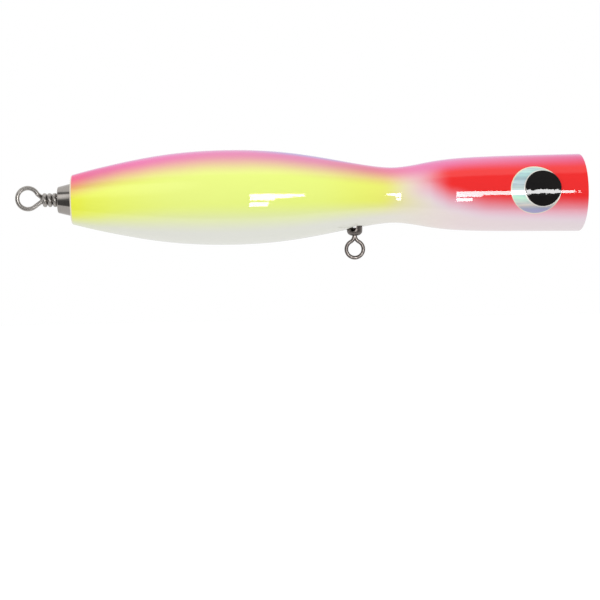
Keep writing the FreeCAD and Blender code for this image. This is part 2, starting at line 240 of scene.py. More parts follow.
# By station along the body: where three of the edges run, in degrees round from the back or millimetres
# below it, and how the coats' colours drift where one was laid thinner or over another
by_station = {}
for name, points in {
    "belly_edge": [(0, 141), (4, 137), (14, 128), (37, 118), (95, 116), (121, 119)],
    "red_edge": [(0, 60), (138, 79), (144, 92), (150, 99), (158, 107), (166, 110), (196, 115)],
    "back_edge": [(0, 5.6), (37, 5.7), (66, 5.7), (95, 5.4), (119, 4.6), (133, 4.3), (144, 3.2),
                  (196, 3.2)],
    "white": [(0, "E6EACB"), (20, "E8E9DE"), (110, "EAEAE0"), (133, "F0E8DF"), (150, "F0E0E1"),
              (196, "EBDDE1")],
    "yellow": [(0, "F3F84C"), (7, "F2FB62"), (16, "F2FD72"), (40, "F1FE88"), (95, "F1FE84"),
               (119, "F2F676"), (128, "F2EC98")],
    "pink": [(0, "F2588A"), (8, "E85B98"), (26, "EC66A9"), (51, "E771AD"), (95, "E17AAB"), (116, "E07593"),
             (127, "EA75A5"), (138, "E976B0"), (166, "E873A4"), (196, "E25891")],
    "in_cup": [(182, "EFE0DC"), (188, "EBA8A2"), (195, "F03A36")],
}.items():
    share = node(tree, "ShaderNodeMath", {0: station, 1: body_length}, operation="DIVIDE").outputs[0]
    ramp = node(tree, "ShaderNodeValToRGB", {0: share})
    ramp.color_ramp.interpolation = "CARDINAL"
    stops = ramp.color_ramp.elements
    while len(stops) < len(points):
        stops.new(1.0)
    for stop, (at, value) in zip(stops, points):
        stop.position = at / body_length
        stop.color = tone(value) if isinstance(value, str) else (value / 180, value / 180, value / 180, 1)
    by_station[name] = ramp.outputs["Color"]

below_belly_edge = node(tree, "ShaderNodeMath", {0: by_station["belly_edge"], 1: -180.0, 2: turn},
                        operation="MULTIPLY_ADD").outputs[0]
below_red_edge = node(tree, "ShaderNodeMath", {0: by_station["red_edge"], 1: -180.0, 2: turn},
                      operation="MULTIPLY_ADD").outputs[0]
back_width = node(tree, "ShaderNodeMath", {0: by_station["back_edge"], 1: 180.0},
                  operation="MULTIPLY").outputs[0]
across_back = node(tree, "ShaderNodeMath", {0: depth, 1: back_width}, operation="DIVIDE").outputs[0]
radius = node(tree, "ShaderNodeMath", {0: radius, 1: 1 / MM}, operation="MULTIPLY").outputs[0]

# Each coat in the order it was sprayed, and the fades that bound it, each from full to nothing: yellow
# flanks that stop before the head, a faint pink mist below the red's edge, the red head, a pink back with a
# mauve spine that turns lavender over the shoulder, the cup, and a cream tail face whose cream runs onto the
# rounded tail edge as a pale line, a painted highlight of the epoxy's rim
paint = by_station["white"]
for colour, fades in (
    (by_station["yellow"], ((below_belly_edge, -22.0, 24.0), (along, 120.0, 142.0))),
    (tone("EFD6EA"), ((below_red_edge, 0.0, 34.0), (along, 143.0, 123.0))),
    (tone("F42D2D"), ((below_red_edge, -22.0, 23.5), (along, 147.0, 127.0))),
    (by_station["pink"], ((across_back, 0.15, 1.85),)),
    (tone("D27FBE"), ((turn, 4.0, 26.0),)),
    (tone("9C8CCB"), ((turn, 8.0, 26.0), (along, 86.0, 64.0), (along, 100.0, 114.0))),
    (by_station["in_cup"], ((radius, 12.7, 12.95), (station, 182.0, 181.0))),
    # Cream tail face; on the rounded tail edge the same cream is a painted highlight, the pale line of light
    # along the epoxy's rim
    (tone("EDE2CC"), ((station, 0.35, 0.7),)),
):
    mask = 1.0
    for measure, full, nothing in fades:
        fade = node(tree, "ShaderNodeMapRange", {0: measure, 1: full, 2: nothing, 3: 1.0, 4: 0.0},
                    interpolation_type="SMOOTHSTEP").outputs[0]
        mask = node(tree, "ShaderNodeMath", {0: fade, 1: mask}, operation="MULTIPLY").outputs[0]
    paint = node(tree, "ShaderNodeMix", {0: mask, 6: paint, 7: colour}, data_type="RGBA").outputs[2]
tree.links.new(paint, shader.inputs["Base Color"])
shader.inputs["Roughness"].default_value = 0.45
shader.inputs["IOR"].default_value = 1.45
shader.inputs["Specular IOR Level"].default_value = 0.0
shader.inputs["Coat Weight"].default_value = 1.0
shader.inputs["Coat Roughness"].default_value = 0.02
shader.inputs["Coat IOR"].default_value = 1.5

# The epoxy's skin: long lazy waves about 6 mm across, a few hundredths of a millimetre deep
waves = node(tree, "ShaderNodeTexNoise", {"Vector": place, "Scale": 1 / (6 * MM), "Detail": 1.5})
skin = node(tree, "ShaderNodeBump", {"Height": waves.outputs["Fac"], "Distance": 0.03 * MM,
                                     "Strength": 1.0})
tree.links.new(skin.outputs[0], shader.inputs["Coat Normal"])
hull.data.materials.clear()
hull.data.materials.append(lacquer)
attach(hull, "hull")
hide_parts("lacquer_coat")

# ---- Wooden body under the skin ------------------------------------------------------------
# A light hardwood blank, turned between centres and bored for the wire, with a slot sawn across its
# belly for the swivel. Three lead slugs lie in holes drilled from below, each under a glued wooden plug.

# Straight-grained light hardwood, sanded and sealed: pale, with fine dark pores drawn out along the
# body, and the white primer that the spray gun blew into the slot.
wood, tree, shader = new_finish("turned_light_hardwood")
place = node(tree, "ShaderNodeTexCoord", {}).outputs["Object"]
lengthwise = node(tree, "ShaderNodeMapping", {"Vector": place, "Scale": (0.06, 1, 1)}).outputs[0]
growth = node(tree, "ShaderNodeTexWave", {"Vector": lengthwise, "Scale": 1 / (14 * MM), "Distortion": 3.0,
                                          "Detail": 3.0, "Detail Scale": 2.0}, bands_direction="Z")
pores = node(tree, "ShaderNodeTexNoise", {"Vector": lengthwise, "Scale": 1 / (0.4 * MM), "Detail": 3.0})
grain = node(tree, "ShaderNodeMix", {0: growth.outputs["Fac"], 6: tone("D9BE93"), 7: tone("C7A473")},
             data_type="RGBA").outputs[2]
dark = node(tree, "ShaderNodeMapRange", {0: pores.outputs["Fac"], 1: 0.55, 2: 0.72, 3: 0.0,
                                         4: 0.45}).outputs[0]
grain = node(tree, "ShaderNodeMix", {0: dark, 6: grain, 7: tone("8C6A43")}, data_type="RGBA").outputs[2]
slot_centre = node(tree, "ShaderNodeVectorMath", {0: place, 1: Vector((swivel_x, 0, 0)) * MM},
                   operation="SUBTRACT").outputs[0]
slot_flat = node(tree, "ShaderNodeVectorMath", {0: slot_centre, 1: (1, 0.7, 0)},
                 operation="MULTIPLY").outputs[0]
slot_away = node(tree, "ShaderNodeVectorMath", {0: slot_flat}, operation="LENGTH").outputs["Value"]
primed = node(tree, "ShaderNodeMapRange", {0: slot_away, 1: 4.6 * MM, 2: 5.4 * MM, 3: 1.0,
                                           4: 0.0}).outputs[0]
grain = node(tree, "ShaderNodeMix", {0: primed, 6: grain, 7: tone("E9E7E0")}, data_type="RGBA").outputs[2]
tree.links.new(grain, shader.inputs["Base Color"])
shader.inputs["Roughness"].default_value = 0.55
ridges = node(tree, "ShaderNodeBump", {"Height": pores.outputs["Fac"], "Distance": 0.05 * MM,
                                       "Strength": 0.5})
tree.links.new(ridges.outputs[0], shader.inputs["Normal"])
frame["nodes"]["body_core"].material_slots[0].material = wood

# Hardwood plugs, turned and glued in, with their grain across the body and browner for the glue
plug_wood, tree, shader = new_finish("glued_hardwood_plug")
place = node(tree, "ShaderNodeTexCoord", {}).outputs["Object"]
upright = node(tree, "ShaderNodeMapping", {"Vector": place, "Scale": (1, 1, 0.08)}).outputs[0]
fibres = node(tree, "ShaderNodeTexNoise", {"Vector": upright, "Scale": 1 / (0.5 * MM), "Detail": 4.0})
brown = node(tree, "ShaderNodeMix", {0: fibres.outputs["Fac"], 6: tone("CFAE7E"), 7: tone("9E7A4D")},
             data_type="RGBA").outputs[2]
tree.links.new(brown, shader.inputs["Base Color"])
shader.inputs["Roughness"].default_value = 0.6

# Cast lead: dull blue-grey, dimpled where it cooled against the mould
lead, tree, shader = new_finish("cast_lead")
place = node(tree, "ShaderNodeTexCoord", {}).outputs["Object"]
dimples = node(tree, "ShaderNodeTexNoise", {"Vector": place, "Scale": 1 / (1.2 * MM), "Detail": 3.0})
oxide = node(tree, "ShaderNodeMix", {0: dimples.outputs["Fac"], 6: tone("7D8086"), 7: tone("5C5F66")},
             data_type="RGBA").outputs[2]
tree.links.new(oxide, shader.inputs["Base Color"])
cast = node(tree, "ShaderNodeBump", {"Height": dimples.outputs["Fac"], "Distance": 0.1 * MM,
                                     "Strength": 0.6})
tree.links.new(cast.outputs[0], shader.inputs["Normal"])
shader.inputs["Metallic"].default_value = 1.0
shader.inputs["Roughness"].default_value = 0.6
for name in ("rear", "middle", "front"):
    frame["nodes"][f"ballast_plug_{name}"].material_slots[0].material = plug_wood
    frame["nodes"][f"ballast_slug_{name}"].material_slots[0].material = lead

# ---- Eyes -----------------------------------------------------------------------------------
# On each cheek a disc of brushed holographic foil, laid on the paint and sealed under the epoxy, and on
# it a smaller domed disc of black resin, set forwards so that the two circles touch at the front.

disc_rings = 14


def wrapped_disc(name, node_name, side, lift, depth, above, flatter=0):
    """A round disc bent to the head, over a CAD disc's place: its lift in degrees round the head, its
    thickness, how much stands proud of the paint, and how much flatter than the head its face is."""
    low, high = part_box(node_name)
    radius, centre_x = (high.x - low.x) / 2, (high.x + low.x) / 2
    head_radius = outline_radius(centre_x / MM - tail_x) * MM
    tall = head_radius * math.sin(radius / head_radius)
    bpy.ops.object.select_all(action="DESELECT")
    bpy.ops.mesh.primitive_circle_add(vertices=128, radius=radius, fill_type="NGON",
                                      location=(centre_x, 0, 0), rotation=(side * math.radians(lift), 0, 0))
    disc = bpy.context.object
    disc.name = name
    bpy.ops.object.mode_set(mode="EDIT")
    for ring in range(disc_rings):
        bpy.ops.mesh.inset(thickness=radius / (disc_rings + 1))
    bpy.ops.mesh.poke()
    mesh = bmesh.from_edit_mesh(disc.data)
    for vertex in mesh.verts:
        vertex.co = Vector((vertex.co.x, 2 * side * head_radius, vertex.co.y * tall / radius))
    bmesh.update_edit_mesh(disc.data)
    bpy.ops.object.mode_set(mode="OBJECT")
    modified(disc, "SHRINKWRAP", target=hull, wrap_method="PROJECT", use_project_y=True,
             use_negative_direction=side > 0, use_positive_direction=side < 0)
    bpy.ops.object.transform_apply(location=True, rotation=True, scale=True)
    bpy.ops.object.mode_set(mode="EDIT")
    bpy.ops.mesh.select_all(action="SELECT")
    bpy.ops.mesh.normals_make_consistent(inside=False)
    mesh = bmesh.from_edit_mesh(disc.data)
    if sum(face.normal.y for face in mesh.faces) * side < 0:
        bpy.ops.mesh.flip_normals()
    bpy.ops.object.mode_set(mode="OBJECT")
    modified(disc, "SOLIDIFY", thickness=depth * MM, offset=2 * above / depth - 1)
    for vertex in disc.data.vertices:
        proud = math.hypot(vertex.co.y, vertex.co.z) - outline_radius(vertex.co.x / MM - tail_x) * MM
        if proud > above * MM / 2:
            vertex.co.y += side * flatter * vertex.co.z ** 2 / MM
    bpy.ops.object.shade_smooth_by_angle(angle=math.radians(40))
    return disc


# Holographic foil under epoxy: a mirror film rolled with fine level lines; cream where the punch has bruised
# its edge. Its mint, ice blue and lavender bands, the colours it breaks the light into, are painted
# reflection, laid on as fixed bands by height on the disc.
foil, tree, shader = new_finish("holographic_foil")
place = node(tree, "ShaderNodeTexCoord", {}).outputs["Object"]
axes = node(tree, "ShaderNodeSeparateXYZ", {0: place}).outputs
level = node(tree, "ShaderNodeMapping", {"Vector": place, "Scale": (0.05, 0.4, 1)}).outputs[0]
lines = node(tree, "ShaderNodeTexNoise", {"Vector": level, "Scale": 1 / (0.6 * MM), "Detail": 1.0})
clouds = node(tree, "ShaderNodeTexNoise", {"Vector": level, "Scale": 1 / (3.2 * MM), "Detail": 2.0})
shifted = node(tree, "ShaderNodeMath", {0: clouds.outputs["Fac"], 1: 1.2 * MM, 2: axes["Z"]},
               operation="MULTIPLY_ADD").outputs[0]
height = node(tree, "ShaderNodeMapRange", {0: shifted, 1: -6.4 * MM, 2: 12.4 * MM}).outputs[0]
# Painted reflection: bands of colour by height, for the colours that the foil reflects at each tilt
painted_reflection_bands = node(tree, "ShaderNodeValToRGB", {0: height})
for at, code in ((0.05, "ABA2CC"), (0.10, "DCCBC6"), (0.15, "DEDCD4"), (0.23, "C4E8D0"), (0.31, "A6DCC0"),
                 (0.40, "E4F1EA"), (0.48, "B4C9C6"), (0.59, "D9EFF4"), (0.67, "A9C7CE"), (0.76, "BDEDE8"),
                 (0.87, "CBE9DC")):
    painted_reflection_bands.color_ramp.elements.new(at).color = tone(code)
painted_reflection_bands.color_ramp.elements[0].color = tone("A59DCC")
painted_reflection_bands.color_ramp.elements[-1].color = tone("B9E9D2")
drawn = node(tree, "ShaderNodeMapRange", {0: lines.outputs["Fac"], 1: 0.44, 2: 0.60, 3: 0.0,
                                          4: 0.45}).outputs[0]
foil_lines_and_painted_reflection = node(tree, "ShaderNodeMix", {0: drawn, 6: painted_reflection_bands.outputs["Color"], 7: tone("A0B6C6")},
                data_type="RGBA").outputs[2]
foil_low, foil_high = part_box("left_eye_foil")
pupil_low, pupil_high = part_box("left_eye_pupil")
rings = []
for low, high, inner, outer in ((foil_low, foil_high, 0.955, 0.975), (pupil_low, pupil_high, 1.045, 1.07)):
    middle, reach = (low + high) / 2, (high - low) / 2
    offset = node(tree, "ShaderNodeVectorMath", {0: place, 1: (middle.x, 0, middle.z)},
                  operation="SUBTRACT").outputs[0]
    offset = node(tree, "ShaderNodeVectorMath", {0: offset, 1: (1 / reach.x, 0, 1 / reach.z)},
                  operation="MULTIPLY").outputs[0]
    away = node(tree, "ShaderNodeVectorMath", {0: offset}, operation="LENGTH").outputs["Value"]
    rings.append(node(tree, "ShaderNodeMapRange", {0: away, 1: inner, 2: outer}).outputs[0])
foil_lines_and_painted_reflection = node(tree, "ShaderNodeMix", {0: rings[0], 6: foil_lines_and_painted_reflection, 7: tone("EFE6C9")},
                data_type="RGBA").outputs[2]
foil_lines_and_painted_reflection = node(tree, "ShaderNodeMix", {0: rings[1], 6: tone("FBF8F0"), 7: foil_lines_and_painted_reflection},
                data_type="RGBA").outputs[2]
tree.links.new(foil_lines_and_painted_reflection, shader.inputs["Base Color"])
shader.inputs["Metallic"].default_value = 0.12
shader.inputs["Roughness"].default_value = 0.4
shader.inputs["Coat Weight"].default_value = 1.0
shader.inputs["Coat Roughness"].default_value = 0.02

# Black resin, poured and domed by hand: deep gloss, its surface slightly rippled
resin, tree, shader = new_finish("domed_black_resin")
place = node(tree, "ShaderNodeTexCoord", {}).outputs["Object"]
depths = node(tree, "ShaderNodeTexNoise", {"Vector": place, "Scale": 1 / (5 * MM), "Detail": 2.0})
black = node(tree, "ShaderNodeMix", {0: depths.outputs["Fac"], 6: tone("0B0B0D"), 7: tone("1A1716")},
             data_type="RGBA").outputs[2]
tree.links.new(black, shader.inputs["Base Color"])
shader.inputs["Roughness"].default_value = 0.03
shader.inputs["IOR"].default_value = 1.5
ripple = node(tree, "ShaderNodeTexNoise", {"Vector": place, "Scale": 1 / (1.8 * MM), "Detail": 1.0})
poured = node(tree, "ShaderNodeBump", {"Height": ripple.outputs["Fac"], "Distance": 0.04 * MM,
                                       "Strength": 1.0})
tree.links.new(poured.outputs[0], shader.inputs["Normal"])

foil_lift, foil_thickness, foil_proud = 5.5, 0.15, 0.04
pupil_lift, pupil_thickness, pupil_proud, pupil_flatter, pupil_edge = 7.5, 0.45, 0.45, 0.01, 0.2
for name, side in (("left", 1), ("right", -1)):
    disc = wrapped_disc(f"{name}_foil_disc", f"{name}_eye_foil", side, foil_lift, foil_thickness, foil_proud)
    disc.data.materials.append(foil)
    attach(disc, "hull")
    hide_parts(f"{name}_eye_foil")
    dome = wrapped_disc(f"{name}_pupil_dome", f"{name}_eye_pupil", side, pupil_lift, pupil_thickness,
                        pupil_proud, pupil_flatter)
    modified(dome, "BEVEL", width=pupil_edge * MM, segments=5, limit_method="ANGLE",
             angle_limit=math.radians(60))
    dome.data.materials.append(resin)
    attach(dome, "hull")
    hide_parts(f"{name}_eye_pupil")

# ---- Through-wire ---------------------------------------------------------------------------
# One stainless spring wire runs from end to end. At the tail and in the cup it is bent into an eye and
# wrapped three times round itself with round-nosed pliers, and the tag is clipped off square.

mounts = {mount["name"]: mount for mount in frame["record"]["mounts"]}
wire_radius = mounts["line_tie"]["dims"]["length_mm"] / 2
eye_radius = mounts["line_tie"]["dims"]["r_mm"] + wire_radius
tail_eye = Vector(mounts["tail_hook_eye"]["pos_m"]) / MM
eye_neck, eye_bend_radius, eye_opening_angle = 1.9, 2.0, 30
eye_crossing, wrap_lean, wrap_start_angle, wrap_end_angle = 1.5, 0.55, 60, 1110
eye_arcs, wrap_arcs = 8, 18
wrap_pitch, wrap_radius = 2 * wire_radius + 0.22, 2 * wire_radius + 0.17


def bent_wire(name, path, radius):
    """Round wire bent in arcs through places in millimetres, each with its heading, and cut off square."""
    bpy.ops.object.select_all(action="DESELECT")
    bpy.ops.curve.primitive_bezier_curve_add()
    wire = bpy.context.object
    wire.name = name
    points = wire.data.splines[0].bezier_points
    points.add(len(path) - len(points))
    for point, (place, heading) in zip(points, path):
        point.handle_left_type = point.handle_right_type = "FREE"
        point.co = place * MM
    for i, ((start, leaving), (end, arriving)) in enumerate(zip(path, path[1:])):
        reach = (end - start).length / (3 * math.cos(leaving.angle(arriving) / 4) ** 2)
        points[i].handle_right = (start + leaving * reach) * MM
        points[i + 1].handle_left = (end - arriving * reach) * MM
    points[0].handle_left, points[-1].handle_right = points[0].co, points[-1].co
    wire.data.resolution_u, wire.data.bevel_resolution = 10, 8
    wire.data.bevel_depth, wire.data.use_fill_caps = radius * MM, True
    bpy.ops.object.convert(target="MESH")
    bpy.ops.object.mode_set(mode="EDIT")
    bpy.ops.mesh.select_all(action="SELECT")
    bpy.ops.mesh.remove_doubles(threshold=1e-6)
    bpy.ops.mesh.normals_make_consistent(inside=False)
    bpy.ops.object.mode_set(mode="OBJECT")
    bpy.ops.object.shade_smooth_by_angle(angle=math.radians(40))
    return wire


def wrapped_eye(lift):
    """The wire's places and headings from its shaft out round an eye at X = 0, lift above it, and back."""
    centre, corner = Vector((0, 0, lift)), Vector((eye_radius + eye_neck, 0, 0))
    first = math.atan2(-lift, corner.x) - math.acos(eye_radius / (corner - centre).length)
    strand = Vector((math.sin(first), 0, -math.cos(first)))
    setback = eye_bend_radius * math.tan(strand.angle(Vector((-1, 0, 0))) / 2)
    path = [(corner + Vector((setback, 0, 0)), Vector((-1, 0, 0))), (corner + strand * setback, strand)]
    last = math.radians(eye_opening_angle - 360)
    for i in range(eye_arcs + 1):
        turn = first + (last - first) * i / eye_arcs
        path.append((centre + Vector((math.cos(turn), 0, math.sin(turn))) * eye_radius,
                     Vector((math.sin(turn), 0, -math.cos(turn)))))
    start, end = math.radians(wrap_start_angle), math.radians(wrap_end_angle)
    slope = wrap_pitch / (2 * math.pi)
    for i in range(wrap_arcs + 1):
        turn = start + (end - start) * i / wrap_arcs
        advance = eye_radius + eye_crossing + slope * (turn - math.pi / 2) - wrap_lean * math.cos(turn)
        path.append((Vector((advance, wrap_radius * math.sin(turn), wrap_radius * math.cos(turn))),
                     Vector((slope + wrap_lean * math.sin(turn), wrap_radius * math.cos(turn),
                             -wrap_radius * math.sin(turn))).normalized()))
    return path


at_tail = [(place + Vector((tail_eye.x, 0, 0)), heading) for place, heading in wrapped_eye(tail_eye.z)]
about = Matrix.Rotation(math.pi, 3, "Z")
at_mouth = [(about @ place, about @ heading) for place, heading in wrapped_eye(0)]
back_along = [(place, -heading) for place, heading in reversed(at_tail)]
wire = bent_wire("bent_through_wire", back_along + at_mouth, wire_radius)

# Drawn stainless spring wire: a warm light grey with a soft polish, faintly mottled where it is scuffed
drawn_steel, tree, shader = new_finish("drawn_stainless_wire")
place = node(tree, "ShaderNodeTexCoord", {}).outputs["Object"]
scuffs = node(tree, "ShaderNodeTexNoise", {"Vector": place, "Scale": 1 / (0.8 * MM), "Detail": 2.0})
steel = node(tree, "ShaderNodeMix", {0: scuffs.outputs["Fac"], 6: tone("B4B0AB"), 7: tone("A5A09B")},
             data_type="RGBA").outputs[2]
tree.links.new(steel, shader.inputs["Base Color"])
polish = node(tree, "ShaderNodeMapRange", {0: scuffs.outputs["Fac"], 3: 0.34, 4: 0.38}).outputs[0]
tree.links.new(polish, shader.inputs["Roughness"])
shader.inputs["Metallic"].default_value = 1.0
wire.data.materials.append(drawn_steel)
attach(wire, "hull")
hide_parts("through_wire")

# ---- Ferrules -------------------------------------------------------------------------------
# Two collars turned from stainless bar, each with a spigot pressed into the end of the wood. The wire
# runs through them, and its wraps bear on them, so that the pull of a fish never reaches the body.

tail_face_x, tail_spigot_x = (corner.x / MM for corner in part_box("tail_ferrule"))
mouth_spigot_x, mouth_face_x = (corner.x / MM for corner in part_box("mouth_ferrule"))
tail_face_radius, tail_sunk = 5.0, 0.6
mouth_face_radius, mouth_cone_length, mouth_seat_depth = 3.9, 1.5, 3.0
spigot_radius, ferrule_bore, ferrule_edge, bore_edge = 3.0, wire_radius + 0.05, 0.4, 0.15

# Turned stainless: rings about 0.12 mm apart from the tool, polished over, so that it mirrors the room in
# long bands
turned_steel, tree, shader = new_finish("turned_stainless")
place = node(tree, "ShaderNodeTexCoord", {}).outputs["Object"]
squeezed = node(tree, "ShaderNodeMapping", {"Vector": place, "Scale": (1, 0.03, 0.03)}).outputs[0]
tool_rings = node(tree, "ShaderNodeTexNoise", {"Vector": squeezed, "Scale": 1 / (0.12 * MM), "Detail": 2.0})
bright = node(tree, "ShaderNodeMix", {0: tool_rings.outputs["Fac"], 6: tone("AFAAA5"), 7: tone("98938E")},
              data_type="RGBA").outputs[2]
tree.links.new(bright, shader.inputs["Base Color"])
shader.inputs["Metallic"].default_value = 1.0
shader.inputs["Roughness"].default_value = 0.14
turning = node(tree, "ShaderNodeBump", {"Height": tool_rings.outputs["Fac"], "Distance": 0.004 * MM,
                                        "Strength": 1.0})
tree.links.new(turning.outputs[0], shader.inputs["Normal"])

for name, face_x, base_x, seat_x, spigot_x, face_radius in (
        ("tail_ferrule", tail_face_x, tail_x, tail_x + tail_sunk, tail_spigot_x, tail_face_radius),
        ("mouth_ferrule", mouth_face_x, mouth_face_x - mouth_cone_length, mouth_face_x - mouth_seat_depth,
         mouth_spigot_x, mouth_face_radius)):
    base_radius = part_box(name)[1].y / MM
    bpy.ops.object.select_all(action="DESELECT")
    collar = turned("turned_" + name, [
        (face_x, ferrule_bore), (face_x, face_radius), (base_x, base_radius), (seat_x, base_radius),
        (seat_x, spigot_radius), (spigot_x, spigot_radius), (spigot_x, ferrule_bore),
        (face_x, ferrule_bore)], steps=96)
    pick_rings(collar, face_x, face_radius)
    bpy.ops.mesh.bevel(offset=ferrule_edge * MM, segments=6, affect="EDGES")
    pick_rings(collar, face_x, ferrule_bore)
    bpy.ops.mesh.bevel(offset=bore_edge * MM, segments=3, affect="EDGES")
    bpy.ops.object.mode_set(mode="OBJECT")
    bpy.ops.object.shade_smooth_by_angle(angle=math.radians(25))
    collar.data.materials.append(turned_steel)
    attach(collar, "hull")
    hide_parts(name)

# ---- Belly swivel ---------------------------------------------------------------------------
# A heavy barrel swivel: two wire eyes, each swaged on a head that turns inside a drilled barrel. The
# upper eye hangs on the through-wire inside the slot, and the lower one takes the belly hook's ring.

swivel_eye_inner = mounts["belly_hook_eye"]["dims"]["r_mm"]
swivel_wire_radius = mounts["belly_hook_eye"]["dims"]["length_mm"] / 2
swivel_eye_radius = swivel_eye_inner + swivel_wire_radius
shoulder_radius, strand_offset = 2.6, 0.2
barrel_end_wall, barrel_end_edge, barrel_hollow, head_radius, head_play = 1.65, 2.0, 1.6, 1.4, 0.06
window_radius, window_turn, stem_play = 1.1, -17, 0.01
weld_grain, drilled_edge = 0.08, 0.08
barrel_low, barrel_high = (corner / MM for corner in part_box("swivel_barrel"))

# Black-nickelled steel, worn through to grey in patches: brown-grey, with a satin gleam and fine pits
swivel_steel, tree, shader = new_finish("black_nickelled_steel")
place = node(tree, "ShaderNodeTexCoord", {}).outputs["Object"]
wear = node(tree, "ShaderNodeTexNoise", {"Vector": place, "Scale": 1 / (0.9 * MM), "Detail": 4.0})
nickel = node(tree, "ShaderNodeMix", {0: wear.outputs["Fac"], 6: tone("635D5A"), 7: tone("857E7A")},
              data_type="RGBA").outputs[2]
tree.links.new(nickel, shader.inputs["Base Color"])
dull = node(tree, "ShaderNodeMapRange", {0: wear.outputs["Fac"], 1: 0.3, 2: 0.7, 3: 0.42,
                                         4: 0.32}).outputs[0]
tree.links.new(dull, shader.inputs["Roughness"])
pits = node(tree, "ShaderNodeBump", {"Height": wear.outputs["Fac"], "Distance": 0.02 * MM,
                                     "Strength": 0.35})
tree.links.new(pits.outputs[0], shader.inputs["Normal"])
shader.inputs["Metallic"].default_value = 1.0


def swivel_eye(name, centre_z, head_z, across):
    """A teardrop eye bent from one wire, its strands welded together into a stem with a half-round head."""
    to_head = 1 if head_z > centre_z else -1
    shoulder = Vector((strand_offset + shoulder_radius, 0, 0))
    shoulder.z = math.sqrt((swivel_eye_radius + shoulder_radius) ** 2 - shoulder.x ** 2)
    out = shoulder.normalized()
    half = [(Vector((strand_offset, 0, abs(head_z - centre_z))), Vector((0, 0, -1))),
            (Vector((strand_offset, 0, shoulder.z)), Vector((0, 0, -1))),
            (out * swivel_eye_radius, Vector((out.z, 0, -out.x)))]
    low, high = -math.pi / 2, math.atan2(out.z, out.x)
    for i in range(1, 5):
        turn = high + (low - high) * i / 4
        half.append((Vector((math.cos(turn), 0, math.sin(turn))) * swivel_eye_radius,
                     Vector((math.sin(turn), 0, -math.cos(turn)))))
    flip = Matrix.Diagonal((-1, 1, 1))
    path = half + [(flip @ place, -(flip @ heading)) for place, heading in reversed(half[:-1])]
    spun = Matrix.Rotation(math.radians(90 if across else 0), 3, "Z") @ Matrix.Diagonal((1, 1, to_head))
    centre = Vector((swivel_x, 0, centre_z))
    eye = bent_wire(name, [(centre + spun @ place, spun @ heading) for place, heading in path],
                    swivel_wire_radius)
    bpy.ops.mesh.primitive_uv_sphere_add(segments=48, ring_count=24, radius=head_radius * MM,
                                         location=(swivel_x * MM, 0, head_z * MM))
    bpy.ops.object.mode_set(mode="EDIT")
    bpy.ops.mesh.bisect(plane_co=(0, 0, head_z * MM), plane_no=(0, 0, to_head), clear_outer=True,
                        use_fill=True, threshold=1e-6)
    bpy.ops.object.mode_set(mode="OBJECT")
    eye.select_set(True)
    bpy.context.view_layer.objects.active = eye
    bpy.ops.object.join()
    modified(eye, "REMESH", mode="VOXEL", voxel_size=weld_grain * MM, use_smooth_shade=True)
    modified(eye, "SMOOTH", factor=0.5, iterations=8)
    bpy.ops.object.transform_apply(location=True, rotation=True, scale=True)
    eye.data.materials.clear()
    eye.data.materials.append(swivel_steel)
    return eye


head_inset = barrel_end_wall + head_play + head_radius
upper_eye_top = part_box("swivel_upper_eye")[1].z / MM
upper_eye = swivel_eye("hanging_eye", upper_eye_top - swivel_eye_radius - swivel_wire_radius,
                       barrel_high.z - head_inset, True)
lower_eye = swivel_eye("hook_eye", mounts["belly_hook_eye"]["pos_m"][2] / MM,
                       barrel_low.z + head_inset, False)

bpy.ops.object.select_all(action="DESELECT")
barrel_radius, barrel_length = (barrel_high.y - barrel_low.y) / 2, barrel_high.z - barrel_low.z
bpy.ops.mesh.primitive_cylinder_add(vertices=96, radius=barrel_radius * MM, depth=barrel_length * MM,
                                    location=(barrel_low + barrel_high) / 2 * MM)
barrel = bpy.context.object
barrel.name = "drilled_barrel"
bpy.ops.object.transform_apply(location=True, rotation=True, scale=True)
modified(barrel, "BEVEL", width=barrel_end_edge * MM, segments=12, limit_method="ANGLE",
         angle_limit=math.radians(60))

# Three cuts: the bore for the stems, the hollow where the heads turn, and a tall window through both sides
window_drill_length = 10
for radius, length, lean, turn in ((strand_offset + swivel_wire_radius + stem_play, 2 * barrel_length, 0, 0),
                                   (barrel_hollow, barrel_length - 2 * barrel_end_wall, 0, 0),
                                   (window_radius, window_drill_length, 90, window_turn)):
    bpy.ops.mesh.primitive_cylinder_add(vertices=64, radius=radius * MM, depth=length * MM,
                                        location=(barrel_low + barrel_high) / 2 * MM,
                                        rotation=(math.radians(lean), 0, math.radians(turn)))
    drill = bpy.context.object
    bpy.ops.object.transform_apply(location=True, rotation=True, scale=True)
    if lean:
        stretch = barrel_length / 2 - barrel_end_wall - radius
        middle_z = (barrel_low.z + barrel_high.z) / 2
        for vertex in drill.data.vertices:
            vertex.co.z += math.copysign(stretch, vertex.co.z / MM - middle_z) * MM
    modified(barrel, "BOOLEAN", object=drill, operation="DIFFERENCE", solver="EXACT")
    bpy.data.objects.remove(drill)
modified(barrel, "BEVEL", width=drilled_edge * MM, segments=3, limit_method="ANGLE",
         angle_limit=math.radians(50))
bpy.ops.object.select_all(action="DESELECT")
barrel.select_set(True)
bpy.ops.object.shade_smooth_by_angle(angle=math.radians(35))
barrel.data.materials.clear()
barrel.data.materials.append(swivel_steel)

for piece, body, name in ((upper_eye, "upper_eye", "swivel_upper_eye"), (barrel, "barrel", "swivel_barrel"),
                          (lower_eye, "lower_eye", "swivel_lower_eye")):
    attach(piece, body)
    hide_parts(name)

# ---- Floor, lamps and camera ----------------------------------------------------------------
# A white table well under the lure, in a white room whose walls are grey on the camera's side. Gloss mirrors
# that room and, behind the camera, a window lamp in three panes and a lower one, which streak the flank.

